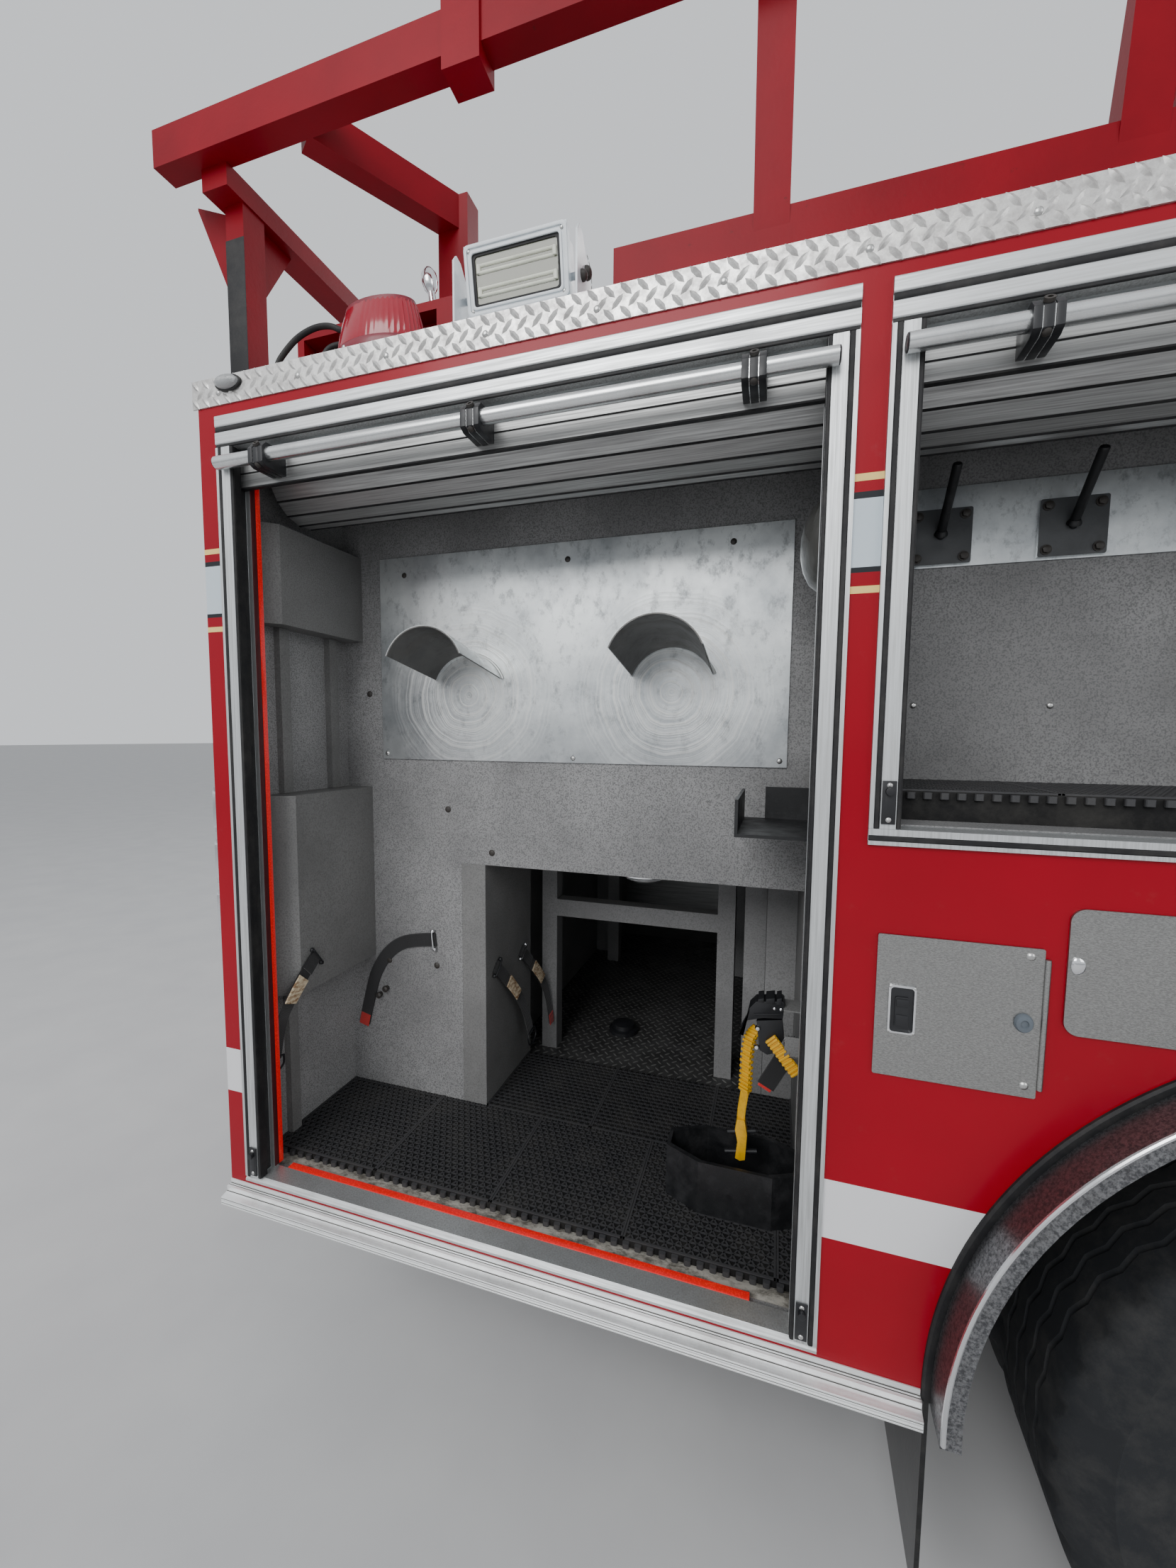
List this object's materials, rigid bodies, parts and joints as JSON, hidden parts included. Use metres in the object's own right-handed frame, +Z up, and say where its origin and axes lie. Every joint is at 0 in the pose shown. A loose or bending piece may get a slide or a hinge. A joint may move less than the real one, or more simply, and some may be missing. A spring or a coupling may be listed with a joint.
{
  "type": "pumper fire truck",
  "caption": "Pumper fire truck with a four-door cab, pump module, roll-up side compartments, cross tunnel, hose bed, ladder rack and twin rear wheels.",
  "frame": {"origin": "on the ground under the centre of the truck's box", "axes": "+X forward, +Y to the truck's left, +Z up"},
  "size_m": [9.6, 2.9806, 3.034],
  "materials": {
    "red_lens": "red lens",
    "red_paint": "deep red gloss enamel",
    "stainless": "polished stainless steel",
    "cab_trim": "dark grey moulded trim",
    "glass": "clear glass",
    "rubber": "black rubber",
    "chassis": "black chassis paint",
    "frame_metal": "satin extruded aluminium",
    "tread_plate": "bright diamond plate",
    "cast_metal": "dark cast iron",
    "lamp_white": "pale grey enamel",
    "rim": "polished disc wheel",
    "tyre": "black rubber",
    "scuffed_sheet": "scuffed aluminium sheet",
    "lamp": "lamp housings and lenses",
    "seat_cover": "dark grey seat cloth",
    "black_steel": "satin black",
    "webbing": "black woven webbing",
    "tank": "black tank shell",
    "grey_fleck": "grey flecked enamel"
  },
  "bodies": {
    "truck": {"beacons": "red_lens", "body_shell_left": "red_paint", "body_shell_right": "red_paint", "cab_floor": "cab_trim", "cab_glass": "glass", "cab_shell": "red_paint", "cables": "rubber", "chassis_frame": "chassis", "curtains": "frame_metal", "dashboard": "cab_trim", "door_frames": "frame_metal", "edge_trim": "tread_plate", "engine_and_driveline": "cast_metal", "flood_light": "lamp_white", "floor_mats": "rubber", "front_axle": "chassis", "front_bumper": "stainless", "grille": "stainless", "hose_bed": "scuffed_sheet", "ladder_rack": "red_paint", "lamps": "lamp", "lift_bars": "frame_metal", "mirrors": "stainless", "mud_flaps": "rubber", "pump_casing": "cast_metal", "pump_fittings": "stainless", "pump_module": "stainless", "rear_axle": "chassis", "rear_wall": "red_paint", "seats": "seat_cover", "shelf_and_tray": "black_steel", "step_boards": "tread_plate", "straps": "webbing", "tanks": "tank", "tunnel_floor": "tread_plate", "tunnel_frame": "frame_metal", "tunnel_liner": "grey_fleck", "wall_covers": "grey_fleck", "wall_panels": "scuffed_sheet", "wheel_arch_rings": "stainless"},
    "knuckle_left": {"knuckle_left": "chassis"},
    "knuckle_right": {"knuckle_right": "chassis"},
    "front_wheel_left": {"front_tyre_left": "tyre", "front_rim_left": "rim"},
    "front_wheel_right": {"front_tyre_right": "tyre", "front_rim_right": "rim"},
    "rear_wheels_left": {"rear_tyres_left": "tyre", "rear_rims_left": "rim"},
    "rear_wheels_right": {"rear_tyres_right": "tyre", "rear_rims_right": "rim"},
    "front_door_left": {"front_door_left": "red_paint", "front_glass_left": "glass"},
    "front_door_right": {"front_door_right": "red_paint", "front_glass_right": "glass"},
    "crew_door_left": {"crew_door_left": "red_paint", "crew_glass_left": "glass"},
    "crew_door_right": {"crew_door_right": "red_paint", "crew_glass_right": "glass"},
    "fuel_flap": {"fuel_flap": "stainless"},
    "bottle_flap": {"bottle_flap": "stainless"}
  },
  "joints": [
    {"name": "steer_left", "type": "hinge", "parent": "truck", "child": "knuckle_left", "pos_m": [2.59, 0.86, 0.52], "axis": [0, 0, 1], "range_deg": [-36, 36]},
    {"name": "steer_right", "type": "hinge", "parent": "truck", "child": "knuckle_right", "pos_m": [2.59, -0.86, 0.52], "axis": [0, 0, 1], "range_deg": [-36, 36]},
    {"name": "front_wheel_left_spin", "type": "hinge", "parent": "knuckle_left", "child": "front_wheel_left", "pos_m": [2.59, 1.035, 0.52], "axis": [0, 1, 0], "continuous": true},
    {"name": "front_wheel_right_spin", "type": "hinge", "parent": "knuckle_right", "child": "front_wheel_right", "pos_m": [2.59, -1.035, 0.52], "axis": [0, 1, 0], "continuous": true},
    {"name": "rear_wheels_left_spin", "type": "hinge", "parent": "truck", "child": "rear_wheels_left", "pos_m": [-2.34, 0.859, 0.52], "axis": [0, 1, 0], "continuous": true},
    {"name": "rear_wheels_right_spin", "type": "hinge", "parent": "truck", "child": "rear_wheels_right", "pos_m": [-2.34, -0.859, 0.52], "axis": [0, 1, 0], "continuous": true},
    {"name": "front_door_left_swing", "type": "hinge", "parent": "truck", "child": "front_door_left", "pos_m": [4.144, 1.2, 1.6], "axis": [0, 0, -1], "range_deg": [0, 78]},
    {"name": "front_door_right_swing", "type": "hinge", "parent": "truck", "child": "front_door_right", "pos_m": [4.144, -1.2, 1.6], "axis": [0, 0, 1], "range_deg": [0, 78]},
    {"name": "crew_door_left_swing", "type": "hinge", "parent": "truck", "child": "crew_door_left", "pos_m": [1.904, 1.2, 1.6], "axis": [0, 0, -1], "range_deg": [0, 82]},
    {"name": "crew_door_right_swing", "type": "hinge", "parent": "truck", "child": "crew_door_right", "pos_m": [1.904, -1.2, 1.6], "axis": [0, 0, 1], "range_deg": [0, 82]},
    {"name": "fuel_flap_swing", "type": "hinge", "parent": "truck", "child": "fuel_flap", "pos_m": [-2.94, -1.2243, 1.2755], "axis": [0, 0, 1], "range_deg": [0, 100]},
    {"name": "bottle_flap_swing", "type": "hinge", "parent": "truck", "child": "bottle_flap", "pos_m": [-2.722, -1.2243, 1.361], "axis": [0, 0, 1], "range_deg": [0, 100]}
  ],
  "couplings": [
    {"joint": "steer_right", "follows": "steer_left", "ratio": 1}
  ]
}
